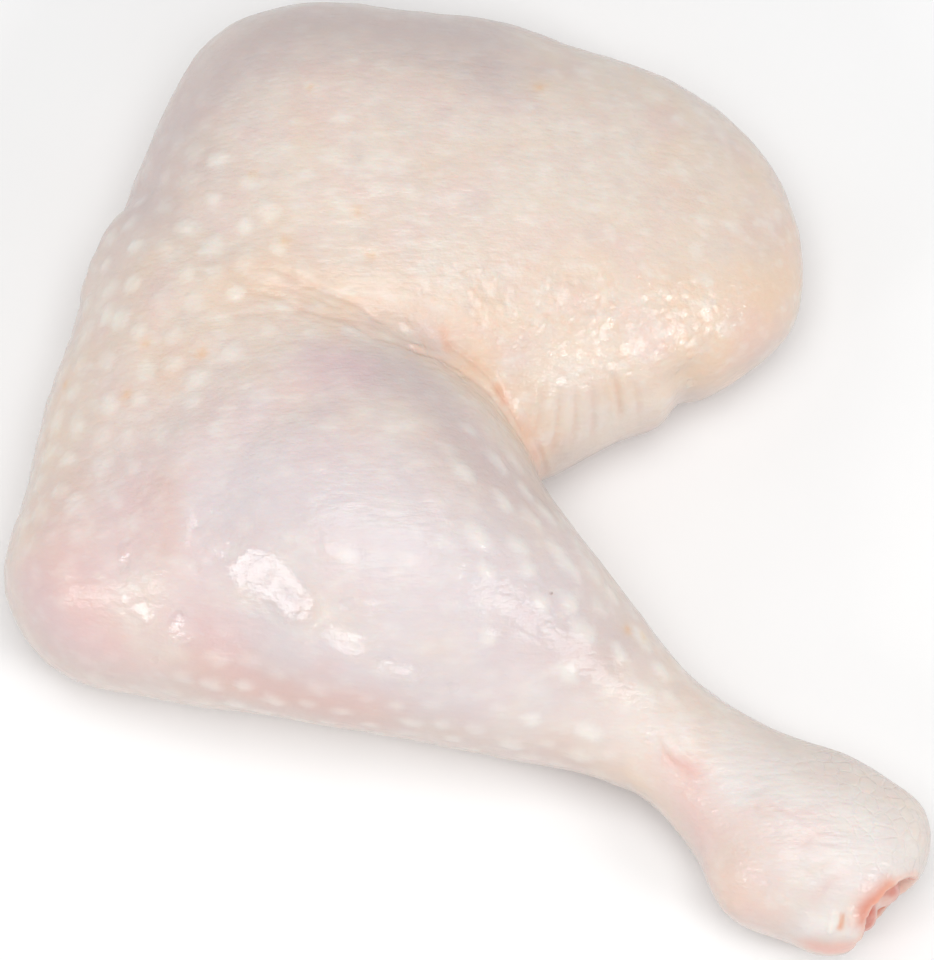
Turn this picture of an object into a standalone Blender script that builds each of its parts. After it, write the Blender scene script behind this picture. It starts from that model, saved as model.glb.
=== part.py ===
"""Raw chicken leg quarter: a thigh and a drumstick still joined at the knee, in one skin.

It lies on its inner side, skin up, with the knee at the left and the cut hock at the right.
Metres, +Z up. X runs from the knee towards the hock, Y from the drumstick towards the thigh.
The origin is the middle of the object's box, on the plane that it lies on.
"""

import math

import bmesh
import bpy
import numpy as np
from mathutils import Matrix, Vector
from mathutils.bvhtree import BVHTree

MM = 0.001

# The thigh, in millimetres: its middle, the level where it is widest, and how far it
# bulges above and below that level. Fullness 2 is a plain ball, and more is squarer.
THIGH_CENTRE = (-10.0, 36.5)
THIGH_WIDEST_LEVEL = 13.0
THIGH_CROWN = 25.0
THIGH_BELLY = 18.0
THIGH_FULLNESS = 2.35
# The thigh's crown is lower towards its free end and over the knee.
CROWN_HALF_LENGTH = 60.0
CROWN_SLOPE = 0.16
CROWN_BOW = 0.14
# The thigh seen from above: degrees round its centre, and the reach of the skin there.
THIGH_OUTLINE = (
    (0, 61.5),
    (12, 60.0),
    (24, 56.0),
    (36, 51.0),
    (50, 44.7),
    (67, 42.0),
    (88, 40.3),
    (108, 44.2),
    (128, 47.0),
    (143, 44.7),
    (160, 43.0),
    (180, 46.6),
    (197, 54.0),
    (210, 65.0),
    (222, 71.0),
    (238, 58.0),
    (262, 46.0),
    (285, 38.5),
    (302, 40.0),
    (320, 43.2),
    (337, 51.6),
    (350, 60.2),
)

# The drumstick from knee to hock: x, y and z of the shank's line, then how far the skin
# stands from it to the thigh's side, to the far side, up and down.
DRUMSTICK = (
    (-53.5, -13.0, 16.0, 22.5, 19.0, 17.5, 18.5),
    (-40.0, -12.0, 17.5, 34.0, 23.3, 22.5, 20.5),
    (-25.0, -11.0, 19.0, 42.0, 26.3, 26.0, 22.5),
    (-10.0, -14.5, 19.0, 33.5, 25.3, 27.0, 22.5),
    (2.0, -20.0, 18.0, 20.2, 22.8, 24.5, 21.5),
    (15.5, -28.5, 15.5, 13.6, 16.8, 17.0, 17.5),
    (24.5, -35.2, 13.5, 10.6, 11.3, 11.5, 12.5),
    (32.0, -41.0, 12.0, 10.2, 8.9, 9.5, 10.5),
    (39.5, -47.2, 11.5, 11.8, 10.5, 10.0, 11.5),
    (48.5, -54.2, 12.0, 15.0, 15.4, 12.0, 13.8),
    (56.0, -60.5, 12.0, 16.2, 12.5, 12.0, 14.3),
)
KNEE_CAP = 16.8
HOCK_CAP = 8.8
# How fast a cap narrows on the same four sides: 1 is a ball, less is blunter.
KNEE_CAP_SHAPE = (1.6, 1.2, 0.9, 0.9)
HOCK_CAP_SHAPE = (0.72, 0.72, 0.72, 0.72)

# The fat that fills the bend of the knee between the two: its middle and its half sizes.
KNEE_FILL = (-38.5, 5.5, 15.5)
KNEE_FILL_SIZE = (26.0, 29.0, 20.5)

# The seam where the two forms meet: sharp at the crotch, smooth all round the knee.
SEAM_SHARP_X = 6.0
SEAM_SMOOTH_X = -34.0
SEAM_REACH = 9.0
SEAM_LEAST = 0.5
SEAM_PASSES = 130

# Soft grooves in the skin's upper side: a run of points seen from above, then the depth
# at its two ends and the groove's width.
FOLD = (
    (-47.0, 14.0),
    (-37.4, 20.1),
    (-30.8, 22.3),
    (-24.8, 22.9),
    (-17.4, 21.1),
    (-9.9, 17.8),
    (-4.0, 15.2),
    (1.9, 9.8),
    (6.5, 4.5),
)
KNEE_VALLEY = (
    (-23.0, 5.0),
    (-31.1, -0.9),
    (-35.5, -8.4),
    (-36.9, -20.0),
    (-31.8, -29.0),
)
THIGH_VALLEY = (
    (-54.0, 45.0),
    (-41.4, 34.9),
    (-30.0, 30.0),
)
GROOVES = (
    (FOLD, 0.3, 1.3, 2.4),
    (KNEE_VALLEY, 0.6, 1.1, 5.0),
    (THIGH_VALLEY, 1.3, 0.2, 5.0),
)

# The flesh settles on the table: what is under this height flattens out, and the flat
# face to rest on is cut at the lower one.
SETTLE_HEIGHT = 3.2
REST_LEVEL = 0.5

# The cut hock: which way it faces, a bowl in the leg, and the shank bone's end seated in it.
# The bone ends in two ridges with a groove between them, as a pulley does.
HOCK_WAY = (0.77, -0.64, 0.0)
HOCK_SIDESTEP = -0.2
BOWL_PLACE = 9.0
BOWL_SIZE = (6.2, 7.2, 6.4)
# The bowl's edge isn't an even oval: how often it waves round, how much, and from what angle.
BOWL_WAVES = ((2, 0.05, 0.5), (3, 0.06, 1.0), (5, 0.03, 2.0))
SEAT_GAP = 0.3
JOINT_RIM = 0.85
JOINT_RISE = 0.9
RIDGE_HEIGHT = 1.7
RIDGE_PLACE = 3.2
RIDGE_WIDTH = 2.1

RINGS_BETWEEN_STATIONS = 5
CAP_RINGS = 8
RING_POINTS = 64
DOME_RINGS = 26
DOME_POINTS = 128
JOINT_RINGS = 9
JOINT_POINTS = 36

VOXEL = 1.25
LEG_TRIANGLES = 9600
SHARP_ANGLE = 45.0

SKIN_COLOUR = (0.82, 0.66, 0.57, 1.0)
SKIN_ROUGHNESS = 0.35
CARTILAGE_COLOUR = (0.74, 0.42, 0.38, 1.0)
CARTILAGE_ROUGHNESS = 0.25


def clear_scene():
    for obj in list(bpy.data.objects):
        bpy.data.objects.remove(obj, do_unlink=True)


def make_material(name, colour, roughness):
    material = bpy.data.materials.new(name)
    material.use_nodes = True
    shader = material.node_tree.nodes["Principled BSDF"]
    shader.inputs["Base Color"].default_value = colour
    shader.inputs["Roughness"].default_value = roughness
    shader.inputs["Metallic"].default_value = 0.0
    return material


def object_of(name, mesh):
    """A scene object that holds a bmesh, which is freed."""
    data = bpy.data.meshes.new(name)
    mesh.to_mesh(data)
    mesh.free()
    obj = bpy.data.objects.new(name, data)
    bpy.context.scene.collection.objects.link(obj)
    return obj


def smooth_between(values, steps):
    """Cubic (Catmull-Rom) rows through the given rows, with some steps between each two."""
    rows = np.array(values, float)
    padded = np.vstack([2 * rows[0] - rows[1], rows, 2 * rows[-1] - rows[-2]])
    out = []
    for i in range(1, len(padded) - 2):
        p0, p1, p2, p3 = padded[i - 1 : i + 3]
        for step in range(steps):
            t = step / steps
            bend = (2 * p0 - 5 * p1 + 4 * p2 - p3) * t**2
            twist = (3 * p1 - p0 - 3 * p2 + p3) * t**3
            out.append((2 * p1 + (p2 - p0) * t + bend + twist) / 2)
    out.append(rows[-1])
    return np.array(out)


def reach_at(outline, angle):
    """The outline's reach at an angle in degrees, by a closed cubic through its points."""
    angles = [a for a, _ in outline]
    reach = [r for _, r in outline]
    count = len(outline)

    def slope(k):
        before = (angles[k] - angles[k - 1]) % 360
        after = (angles[(k + 1) % count] - angles[k]) % 360
        return (reach[(k + 1) % count] - reach[k - 1]) / (before + after)

    i = int(np.searchsorted(angles, angle, side="right")) - 1
    j = (i + 1) % count
    span = (angles[j] - angles[i]) % 360
    t = (angle - angles[i]) / span
    return (
        (2 * t**3 - 3 * t**2 + 1) * reach[i]
        + (t**3 - 2 * t**2 + t) * span * slope(i)
        + (3 * t**2 - 2 * t**3) * reach[j]
        + (t**3 - t**2) * span * slope(j)
    )


def mesh_of_rings(rings, first_tip, last_tip):
    """A closed skin over rings of points, bridged ring to ring and fanned to a tip at each end."""
    mesh = bmesh.new()
    loops = [[mesh.verts.new(Vector(point) * MM) for point in ring] for ring in rings]
    count = len(loops[0])
    for near, far in zip(loops, loops[1:]):
        for i in range(count):
            j = (i + 1) % count
            mesh.faces.new((near[i], near[j], far[j], far[i]))
    for loop, tip in ((loops[0], first_tip), (loops[-1], last_tip)):
        point = mesh.verts.new(Vector(tip) * MM)
        for i in range(count):
            mesh.faces.new((loop[i], loop[(i + 1) % count], point))
    bmesh.ops.recalc_face_normals(mesh, faces=mesh.faces)
    return mesh


def crown_height(x):
    """How far the thigh's top stands over its widest level, at a place along it."""
    along = (x - THIGH_CENTRE[0]) / CROWN_HALF_LENGTH
    return THIGH_CROWN * (1.0 - CROWN_SLOPE * along - CROWN_BOW * along**2)


def thigh_form():
    """A squashed ball whose equator is the thigh's outline."""
    cx, cy = THIGH_CENTRE
    power = 2.0 / THIGH_FULLNESS
    rings = []
    for k in range(1, DOME_RINGS):
        latitude = math.radians(-90 + 180 * k / DOME_RINGS)
        shrink = math.cos(latitude) ** power
        rise = math.copysign(abs(math.sin(latitude)) ** power, latitude)
        ring = []
        for i in range(DOME_POINTS):
            turn = 360 * i / DOME_POINTS
            reach = reach_at(THIGH_OUTLINE, turn) * shrink
            x = cx + reach * math.cos(math.radians(turn))
            y = cy + reach * math.sin(math.radians(turn))
            height = crown_height(x) if rise > 0 else THIGH_BELLY
            ring.append((x, y, THIGH_WIDEST_LEVEL + rise * height))
        rings.append(ring)
    low = (cx, cy, THIGH_WIDEST_LEVEL - THIGH_BELLY)
    high = (cx, cy, THIGH_WIDEST_LEVEL + crown_height(cx))
    return mesh_of_rings(rings, low, high)


def knee_fill_form():
    """A plain squashed ball."""
    mesh = bmesh.new()
    place = Matrix.Translation(Vector(KNEE_FILL) * MM) @ Matrix.Diagonal((*KNEE_FILL_SIZE, 1.0))
    bmesh.ops.create_icosphere(mesh, subdivisions=5, radius=MM, matrix=place)
    return mesh


def cap_sections(centre, way, sizes, length, shape):
    """Sections that close a tube from its end outwards: each one's centre, way and sizes."""
    sections = []
    for k in range(1, CAP_RINGS):
        lift = math.radians(90 * k / CAP_RINGS)
        place = centre + way * length * math.sin(lift)
        sections.append((place, way, sizes * math.cos(lift) ** np.array(shape)))
    return sections


def drumstick_form():
    """A tube of oval rings along the shank, closed by a rounded knee and a blunt hock."""
    rows = smooth_between(DRUMSTICK, RINGS_BETWEEN_STATIONS)
    line = rows[:, :3]
    sizes = rows[:, 3:]
    ways = np.gradient(line, axis=0)
    ways /= np.linalg.norm(ways, axis=1)[:, None]
    knee = cap_sections(line[0], -ways[0], sizes[0], KNEE_CAP, KNEE_CAP_SHAPE)
    hock = cap_sections(line[-1], ways[-1], sizes[-1], HOCK_CAP, HOCK_CAP_SHAPE)
    knee = [(centre, -way, size) for centre, way, size in reversed(knee)]
    rings = []
    for centre, way, (near, far, up, down) in knee + list(zip(line, ways, sizes)) + hock:
        side = Vector((-way[1], way[0], 0)).normalized()
        ring = []
        for i in range(RING_POINTS):
            turn = 2 * math.pi * i / RING_POINTS
            sideways = math.cos(turn) * (near if math.cos(turn) > 0 else far)
            upwards = math.sin(turn) * (up if math.sin(turn) > 0 else down)
            ring.append(Vector(centre) + side * sideways + Vector((0, 0, upwards)))
        rings.append(ring)
    knee_tip = line[0] - ways[0] * KNEE_CAP
    hock_tip = line[-1] + ways[-1] * HOCK_CAP
    return mesh_of_rings(rings, knee_tip, hock_tip)


def apply_modifiers(obj):
    graph = bpy.context.evaluated_depsgraph_get()
    data = bpy.data.meshes.new_from_object(obj.evaluated_get(graph))
    obj.modifiers.clear()
    obj.data = data


def fuse(obj):
    """One closed skin of evenly small faces over all that the object holds."""
    remesh = obj.modifiers.new("fuse", "REMESH")
    remesh.mode = "VOXEL"
    remesh.voxel_size = VOXEL * MM
    apply_modifiers(obj)


def ramp(value, start, end):
    """0 at the start and 1 at the end, with soft ends."""
    t = np.clip((value - start) / (end - start), 0.0, 1.0)
    return t * t * (3 - 2 * t)


def soften_seam(obj, forms):
    """Smooths the line where the forms meet, more and more from the crotch round to the knee."""
    group = obj.vertex_groups.new(name="seam")
    for vertex in obj.data.vertices:
        away = sum(sorted(form.find_nearest(vertex.co)[3] for form in forms)[:2]) / MM
        along = float(ramp(vertex.co.x / MM, SEAM_SHARP_X, SEAM_SMOOTH_X))
        weight = along * max(SEAM_LEAST, math.exp(-((away / SEAM_REACH) ** 2)))
        group.add([vertex.index], weight, "REPLACE")
    smooth = obj.modifiers.new("soften", "SMOOTH")
    smooth.factor = 0.5
    smooth.iterations = SEAM_PASSES
    smooth.vertex_group = group.name
    apply_modifiers(obj)
    obj.vertex_groups.clear()


def nearest_on_run(points, run):
    """Each point's distance to a run of straight pieces, and how far along the run that is, 0 to 1."""
    run = np.array(run)
    lengths = np.linalg.norm(np.diff(run, axis=0), axis=1)
    best = np.full(len(points), np.inf)
    along = np.zeros(len(points))
    passed = 0.0
    for start, end, length in zip(run, run[1:], lengths):
        way = (end - start) / length
        t = np.clip((points - start) @ way, 0.0, length)
        away = np.linalg.norm(points - start - t[:, None] * way, axis=1)
        closer = away < best
        best[closer] = away[closer]
        along[closer] = (passed + t[closer]) / lengths.sum()
        passed += length
    return best, along


def press_grooves(obj):
    """Presses the soft grooves into the upper side of the skin, along its normals."""
    mesh = obj.data
    places = np.array([vertex.co for vertex in mesh.vertices]) / MM
    normals = np.array([vertex.normal for vertex in mesh.vertices])
    upper = np.clip(normals[:, 2], 0.0, 1.0)
    depth = np.zeros(len(places))
    for run, first, last, width in GROOVES:
        away, along = nearest_on_run(places[:, :2], smooth_between(run, RINGS_BETWEEN_STATIONS))
        depth += (first + (last - first) * along) * np.exp(-((away / width) ** 2))
    places -= normals * (depth * upper)[:, None]
    for vertex, place in zip(mesh.vertices, places):
        vertex.co = place * MM


def settle(obj):
    """Lets the underside spread as soft flesh does on a table."""
    for vertex in obj.data.vertices:
        height = vertex.co.z / MM
        if height < SETTLE_HEIGHT:
            height = SETTLE_HEIGHT * math.exp(height / SETTLE_HEIGHT - 1.0)
        vertex.co.z = (height - REST_LEVEL) * MM


def simplify(obj):
    """Fewer triangles, smallest where the skin bends most."""
    decimate = obj.modifiers.new("simplify", "DECIMATE")
    decimate.ratio = LEG_TRIANGLES / sum(len(face.vertices) - 2 for face in obj.data.polygons)
    apply_modifiers(obj)


def cut_rest_face(obj):
    """Cuts the flat face that the leg rests on."""
    mesh = bmesh.new()
    mesh.from_mesh(obj.data)
    everything = mesh.verts[:] + mesh.edges[:] + mesh.faces[:]
    cut = bmesh.ops.bisect_plane(
        mesh, geom=everything, plane_co=(0, 0, 0), plane_no=(0, 0, 1), clear_inner=True
    )
    rim = [item for item in cut["geom_cut"] if isinstance(item, bmesh.types.BMEdge)]
    bmesh.ops.edgenet_fill(mesh, edges=rim)
    bmesh.ops.triangulate(mesh, faces=mesh.faces[:])
    bmesh.ops.recalc_face_normals(mesh, faces=mesh.faces)
    mesh.to_mesh(obj.data)
    mesh.free()


def hock_frame():
    """The cut hock's own frame, in millimetres: x along the bone's width, y upwards, z outwards."""
    outwards = Vector(HOCK_WAY).normalized()
    sideways = Vector((-outwards.y, outwards.x, 0)).normalized()
    upwards = outwards.cross(sideways)
    end = Vector(DRUMSTICK[-1][:3])
    place = end + outwards * BOWL_PLACE + sideways * HOCK_SIDESTEP
    turn = Matrix((sideways, upwards, outwards)).transposed().to_4x4()
    return Matrix.Translation(place) @ turn


def bowl_unevenness(turn):
    """How far the bowl's edge stands out at an angle round it, as a share of an even oval."""
    return 1.0 + sum(size * math.cos(times * turn + start) for times, size, start in BOWL_WAVES)


def cut_bowl(leg):
    """Hollows the hock where the foot was cut off at the joint."""
    mesh = bmesh.new()
    bmesh.ops.create_icosphere(mesh, subdivisions=4, radius=1.0)
    for vertex in mesh.verts:
        uneven = bowl_unevenness(math.atan2(vertex.co.y, vertex.co.x))
        vertex.co.x *= uneven
        vertex.co.y *= uneven
    mesh.transform(Matrix.Scale(MM, 4) @ hock_frame() @ Matrix.Diagonal((*BOWL_SIZE, 1.0)))
    cutter = object_of("hock_cutter", mesh)
    cutter.hide_render = True
    cutter.display_type = "WIRE"
    cut = leg.modifiers.new("hock bowl", "BOOLEAN")
    cut.operation = "DIFFERENCE"
    cut.solver = "EXACT"
    cut.object = cutter
    apply_modifiers(leg)
    bpy.data.objects.remove(cutter, do_unlink=True)


def joint_end():
    """The bone's end: its back follows the bowl, its face has the two ridges and the groove."""
    width, height, depth = (size - SEAT_GAP for size in BOWL_SIZE)
    frame = hock_frame()
    rim_level = -depth * math.sqrt(1.0 - JOINT_RIM**2)

    def ring_point(share, turn, level):
        reach = share * bowl_unevenness(turn)
        return frame @ Vector((width * reach * math.cos(turn), height * reach * math.sin(turn), level))

    def face_level(share, turn):
        across = width * share * math.cos(turn)
        inner = 1.0 - (share / JOINT_RIM) ** 2
        ridges = sum(math.exp(-(((across - x) / RIDGE_WIDTH) ** 2)) for x in (-RIDGE_PLACE, RIDGE_PLACE))
        return rim_level + JOINT_RISE * inner + RIDGE_HEIGHT * ridges * math.sqrt(max(inner, 0.0))

    turns = [2 * math.pi * i / JOINT_POINTS for i in range(JOINT_POINTS)]
    shares = [JOINT_RIM * math.sin(math.pi / 2 * k / JOINT_RINGS) for k in range(1, JOINT_RINGS + 1)]
    rings = []
    for share in shares:
        back = -depth * math.sqrt(1.0 - share**2)
        rings.append([ring_point(share, turn, back) for turn in turns])
    for share in reversed(shares[:-1]):
        rings.append([ring_point(share, turn, face_level(share, turn)) for turn in turns])
    mesh = mesh_of_rings(rings, ring_point(0, 0, -depth), ring_point(0, 0, face_level(0, 0)))
    return object_of("joint_end", mesh)


def centre_on_table(objects):
    """Moves the meshes so that the middle of their common box stands at the origin."""
    corners = [Vector(corner) for obj in objects for corner in obj.bound_box]
    middle = [(min(c[i] for c in corners) + max(c[i] for c in corners)) / 2 for i in (0, 1)]
    shift = Vector((-middle[0], -middle[1], 0))
    for obj in objects:
        obj.data.transform(Matrix.Translation(shift))
    return shift


def main():
    clear_scene()
    forms = [thigh_form(), drumstick_form(), knee_fill_form()]
    trees = [BVHTree.FromBMesh(form) for form in forms]
    whole = bmesh.new()
    for form in forms:
        data = bpy.data.meshes.new("form")
        form.to_mesh(data)
        form.free()
        whole.from_mesh(data)
        bpy.data.meshes.remove(data)
    leg = object_of("leg", whole)
    fuse(leg)
    soften_seam(leg, trees)
    press_grooves(leg)
    settle(leg)
    simplify(leg)
    cut_rest_face(leg)
    cut_bowl(leg)
    joint = joint_end()
    leg.data.materials.append(make_material("chicken skin", SKIN_COLOUR, SKIN_ROUGHNESS))
    joint.data.materials.append(make_material("joint cartilage", CARTILAGE_COLOUR, CARTILAGE_ROUGHNESS))
    for obj in (leg, joint):
        obj.data.shade_smooth()
        obj.data.set_sharp_from_angle(angle=math.radians(SHARP_ANGLE))
    return centre_on_table((leg, joint))


main()
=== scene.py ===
"""A raw chicken leg quarter, skin side up: the finish of its skin, of the cut hock and of the joint in it.

Marks on the skin are points near it in millimetres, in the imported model's own frame.
"""

import math

import bpy
import numpy as np
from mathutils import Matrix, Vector, noise
from mathutils.kdtree import KDTree


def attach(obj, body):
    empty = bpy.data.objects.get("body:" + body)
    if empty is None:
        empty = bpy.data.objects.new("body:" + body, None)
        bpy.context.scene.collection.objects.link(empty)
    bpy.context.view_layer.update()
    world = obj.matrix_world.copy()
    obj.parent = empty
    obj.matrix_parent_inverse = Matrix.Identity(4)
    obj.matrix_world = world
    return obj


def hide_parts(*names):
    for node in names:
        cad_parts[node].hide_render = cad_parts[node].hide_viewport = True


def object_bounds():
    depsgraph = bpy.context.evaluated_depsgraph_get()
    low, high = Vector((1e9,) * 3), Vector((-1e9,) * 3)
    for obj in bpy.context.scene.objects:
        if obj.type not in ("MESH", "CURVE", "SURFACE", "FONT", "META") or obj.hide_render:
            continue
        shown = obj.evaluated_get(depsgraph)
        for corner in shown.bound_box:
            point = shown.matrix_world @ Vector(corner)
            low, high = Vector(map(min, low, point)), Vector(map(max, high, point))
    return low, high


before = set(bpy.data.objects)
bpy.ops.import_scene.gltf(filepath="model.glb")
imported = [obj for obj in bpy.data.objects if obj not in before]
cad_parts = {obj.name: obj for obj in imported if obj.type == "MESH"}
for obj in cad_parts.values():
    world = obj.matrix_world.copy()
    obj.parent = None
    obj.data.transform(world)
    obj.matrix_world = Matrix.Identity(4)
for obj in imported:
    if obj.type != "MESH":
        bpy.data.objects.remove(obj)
CAD_LOW, CAD_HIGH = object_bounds()

bl_info = {
    "name": "Raw chicken leg quarter",
    "version": (1, 0, 0),
    "blender": (4, 5, 0),
    "location": "3D View > Sidebar > Leg quarter",
    "description": "Models the skin, the cut hock and the joint of a raw chicken leg quarter",
    "category": "Add Mesh",
}

MM = 0.001

# The photograph: how it looks down on the leg, and how much of the leg its height takes in.
VIEW_ELEVATION = math.radians(70)
VIEW_DISTANCE = 1100 * MM
VIEW_HEIGHT = 144 * MM
VIEW_AIM = (0.7 * MM, -3.3 * MM, 18 * MM)
SENSOR = 36.0

# The lights: name, the way to it, its distance and its width in metres.
LIGHTS = (
    ("top", (0.0, -0.15, 1.0), 1.0, 0.7),
    ("key", (-0.70, -0.53, 0.48), 0.75, 0.18),
    ("low", (-0.26, -0.95, 0.16), 0.75, 0.1),
    ("fill", (0.70, -0.45, 0.56), 0.85, 0.26),
    ("back", (-0.65, 0.35, 0.62), 0.95, 0.5),
)

# Marks were taken with the leg's left end and its back edge at these places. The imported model's own ends say
# how far they have moved since.
LEFT_END = -68.84
BACK_EDGE = 74.9
MOVED = np.array((CAD_LOW[0] / MM - LEFT_END, CAD_HIGH[1] / MM - BACK_EDGE, 0.0))

# The way from the knee to the hock, and the bowl that the cut left in the hock: its middle, its axes across,
# up and out of the bone, and its half sizes.
SHANK_WAY = (0.80, -0.55, -0.20)
HOCK_PLACE = (63.5, -69.7, 12.0)
HOCK_AXES = ((0.639, 0.769, 0.0), (0.0, 0.0, 1.0), (0.769, -0.639, 0.0))
HOCK_SIZES = (6.2, 7.2, 6.4)
# How far the cut slopes back towards the underside.
LIP_SET_BACK = 1.8
# The cut's rim: how far it is from the bowl's middle and its half width, as shares of the bowl's size.
RIM_PLACE, RIM_HALF_WIDTH = 1.12, 0.09
# The groove between the joint's two lobes: depth, half width.
JOINT_GROOVE = (0.45, 1.3)

# Where the thigh's skin laps over the drumstick, from the outer side to the crotch.
LAP = (
    (-40.2, 18.5, 35.1), (-35.2, 19.7, 36.1), (-28.6, 19.2, 36.7), (-23.5, 16.5, 37.5), (-17.4, 14.9, 37.3),
    (-12.8, 12.1, 37.7), (-6.7, 10.4, 36.4), (-1.8, 9.1, 33.6), (2.5, 6.7, 31), (5.3, 4.4, 28.8),
    (8.2, 1, 25.7), (10.1, -0.6, 21), (11.6, -1.3, 14),
)
# Fine lines in the ankle's skin.
ANKLE_LINES = (
    ((41.7, -56.5, 21.5), (44.5, -55.4, 22.3), (48, -57.1, 23.2), (51, -57, 23.5)),
    ((51.4, -69.9, 20.7), (53.3, -68.1, 22.2), (55.9, -66.4, 23.1)),
    ((49.7, -61.9, 23.4), (51.4, -60.6, 23.6), (53.3, -60.9, 23.6)),
)

# Folds pressed into the skin: marks, depth, half width, and the height and distance of a lip on the left.
FOLDS = (
    (LAP, 0.14, 0.55, 0.04, 1.3),
    (
        (
            (-31.6, 24.6, 36.7), (-25.5, 22, 37.2), (-21.5, 20.2, 36.9), (-16.4, 18, 36.5),
            (-12.8, 15.4, 36.2), (-7.8, 12.6, 36.2),
        ),
        0.16, 0.45, 0.05, 1.3,
    ),
    # the lap's last marks, where it cuts in deeper towards the crotch
    (LAP[-7:], 0.08, 0.6, 0.06, 1.2),
    (((-24.5, 20.9, 37), (-20.4, 19.4, 36.8), (-13.4, 17.4, 36.2)), 0.1, 0.45, 0.04, 1),
    (((-37, 15, 35.8), (-33, 16, 36.6), (-29.7, 16.1, 37.2), (-26.5, 15.2, 37.7)), 0.1, 0.6, 0.03, 1.2),
    # the orange creases beside the crotch
    (
        (
            (-4.8, 15.6, 34.9), (-1.5, 12.1, 33.1), (2.3, 9.7, 31.5), (5.6, 6.1, 28.8), (7.9, 3, 26),
            (9.5, 1, 23.2),
        ),
        0.14, 0.4, 0.08, 1.1,
    ),
    # the creases above the ankle and in it
    (((28.7, -44.7, 21.2), (30.1, -47.2, 20), (31.6, -48.4, 19.8), (34.2, -49.7, 20)), 0.15, 0.5, 0.14, 1.4),
    (((42.6, -54.6, 21.8), (43.9, -56.8, 22.3), (46.5, -57.5, 23)), 0.12, 0.6, 0.06, 1.2),
    (((49.5, -66.4, 22.1), (52.1, -65.7, 22.8), (55.3, -64, 23.4)), 0.12, 0.7, 0.06, 1.4),
    *((line, 0.05, 0.5, 0.03, 1.2) for line in ANKLE_LINES),
)

# The pleats of the thigh's skin beside the crotch: upper end, lower end, depth.
PLEATS = (
    ((12.4, 9.6, 29), (10.6, 1.4, 22.4), 0.18),
    ((14.8, 8.6, 27.6), (13, 0.9, 18), 0.26),
    ((17, 9.4, 26.9), (15.9, 2.4, 17), 0.24),
    ((19.3, 9.5, 25.9), (19, 4, 16.5), 0.2),
    ((22.3, 12, 26.4), (23.6, 6.6, 18), 0.3),
    ((25.6, 11.4, 24.6), (26.2, 7.6, 17), 0.14),
    ((9.2, 3.4, 25.2), (12.4, -0.6, 13.5), 0.26),
)
PLEAT_HALF_WIDTH = 0.5

# Fine wrinkles that run along a line of marks: reach, height and how far apart they are.
WRINKLES = (
    (((-35.2, 19.7, 36.1), (-23.5, 17, 37.5), (-12.8, 13.1, 37.7), (-6.7, 11, 36.4)), 4, 0.03, 1.3),
    (((2.5, 5.7, 31.5), (5, 3.4, 29.5), (7.8, 0.2, 26.5), (10.8, -2, 19)), 2.8, 0.06, 1.5),
    (((4, 12, 32), (7, 7, 28.5), (10, 3, 24)), 2.4, 0.06, 1.6),
    (((28.7, -44.7, 21.2), (31.6, -48.4, 19.8), (34.2, -49.7, 20)), 3.5, 0.06, 1.4),
    (((42.6, -54.6, 21.8), (49.5, -60, 23.4), (57, -63, 23)), 6, 0.03, 1.6),
)

# The uneven plumpness of real flesh, all over: height, size, start of the noise.
PLUMPNESS = ((0.26, 13, 3), (0.10, 5.5, 8), (0.035, 2.8, 14))

# Broad swellings and dents: marks, reach, height.
SWELLINGS = (
    # the knee: a shallow valley, and the muscle behind it
    (((-23.9, 0.6, 41.9), (-30.5, -3.9, 41.3), (-35.6, -11.3, 40), (-36.2, -23, 37.9)), 3.2, -0.3),
    (((-41, -4, 37.5), (-43.5, -14, 36.5), (-44, -22, 35.5)), 4, 0.3),
    # valleys in the thigh's outer side, one of them in line with the fold
    (((-47.2, 40.3, 26.4), (-40.8, 31.9, 32.9), (-34.7, 28.4, 35.6)), 3, -0.4),
    (((-46.3, 9.2, 33.6), (-43.8, 16.2, 34.1), LAP[0]), 2.2, -0.3),
    # the notch in the thigh's free edge, with a roll on each side
    (((34.2, 11.2, 20), (34.2, 10.6, 14), (34, 9.8, 5)), 3, -1.6),
    (((29.6, 8.6, 18), (29.4, 7.8, 7)), 3.4, 0.4),
    # the waist in the thigh's outer edge, and the bulge beside it
    (((-49, 40, 16), (-48, 41, 24)), 3, -0.7),
    (((-52.5, 35, 19), (-54.5, 31, 19), (-56, 28, 19)), 3.6, 1),
    # the notch under the ankle's neck, and the ankle's full sides
    (((33.7, -58.1, 13.7),), 3, -0.5),
    (((38.7, -64, 14), (40.2, -67.5, 13.5)), 3, 0.8),
    (((57.5, -46.5, 16), (61.5, -49.5, 16), (64, -53, 16)), 4, 0.3),
    # the white lobes and ridges round the tendon's slit
    (((57.9, -72, 19), (58.3, -72.9, 17), (57.9, -73.8, 14.8)), 1, 0.45),
    (((51.3, -72.1, 18.7), (50.5, -73.1, 16.6)), 1.2, 0.4),
    (((54.4, -71.8, 19.9), (54.1, -73, 18.6), (54, -73.7, 17.4)), 0.6, 0.4),
    (((56.7, -71.4, 20.2), (57, -72.5, 18.7), (56.8, -73.7, 16.6)), 0.6, 0.4),
    # the ankle's shallow hollows
    (((49.5, -65.7, 22.4), (52.4, -67.9, 22.1)), 2.2, -0.3),
    (((46, -60, 22.9), (50, -61.5, 23.4)), 1.6, -0.25),
)

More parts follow.
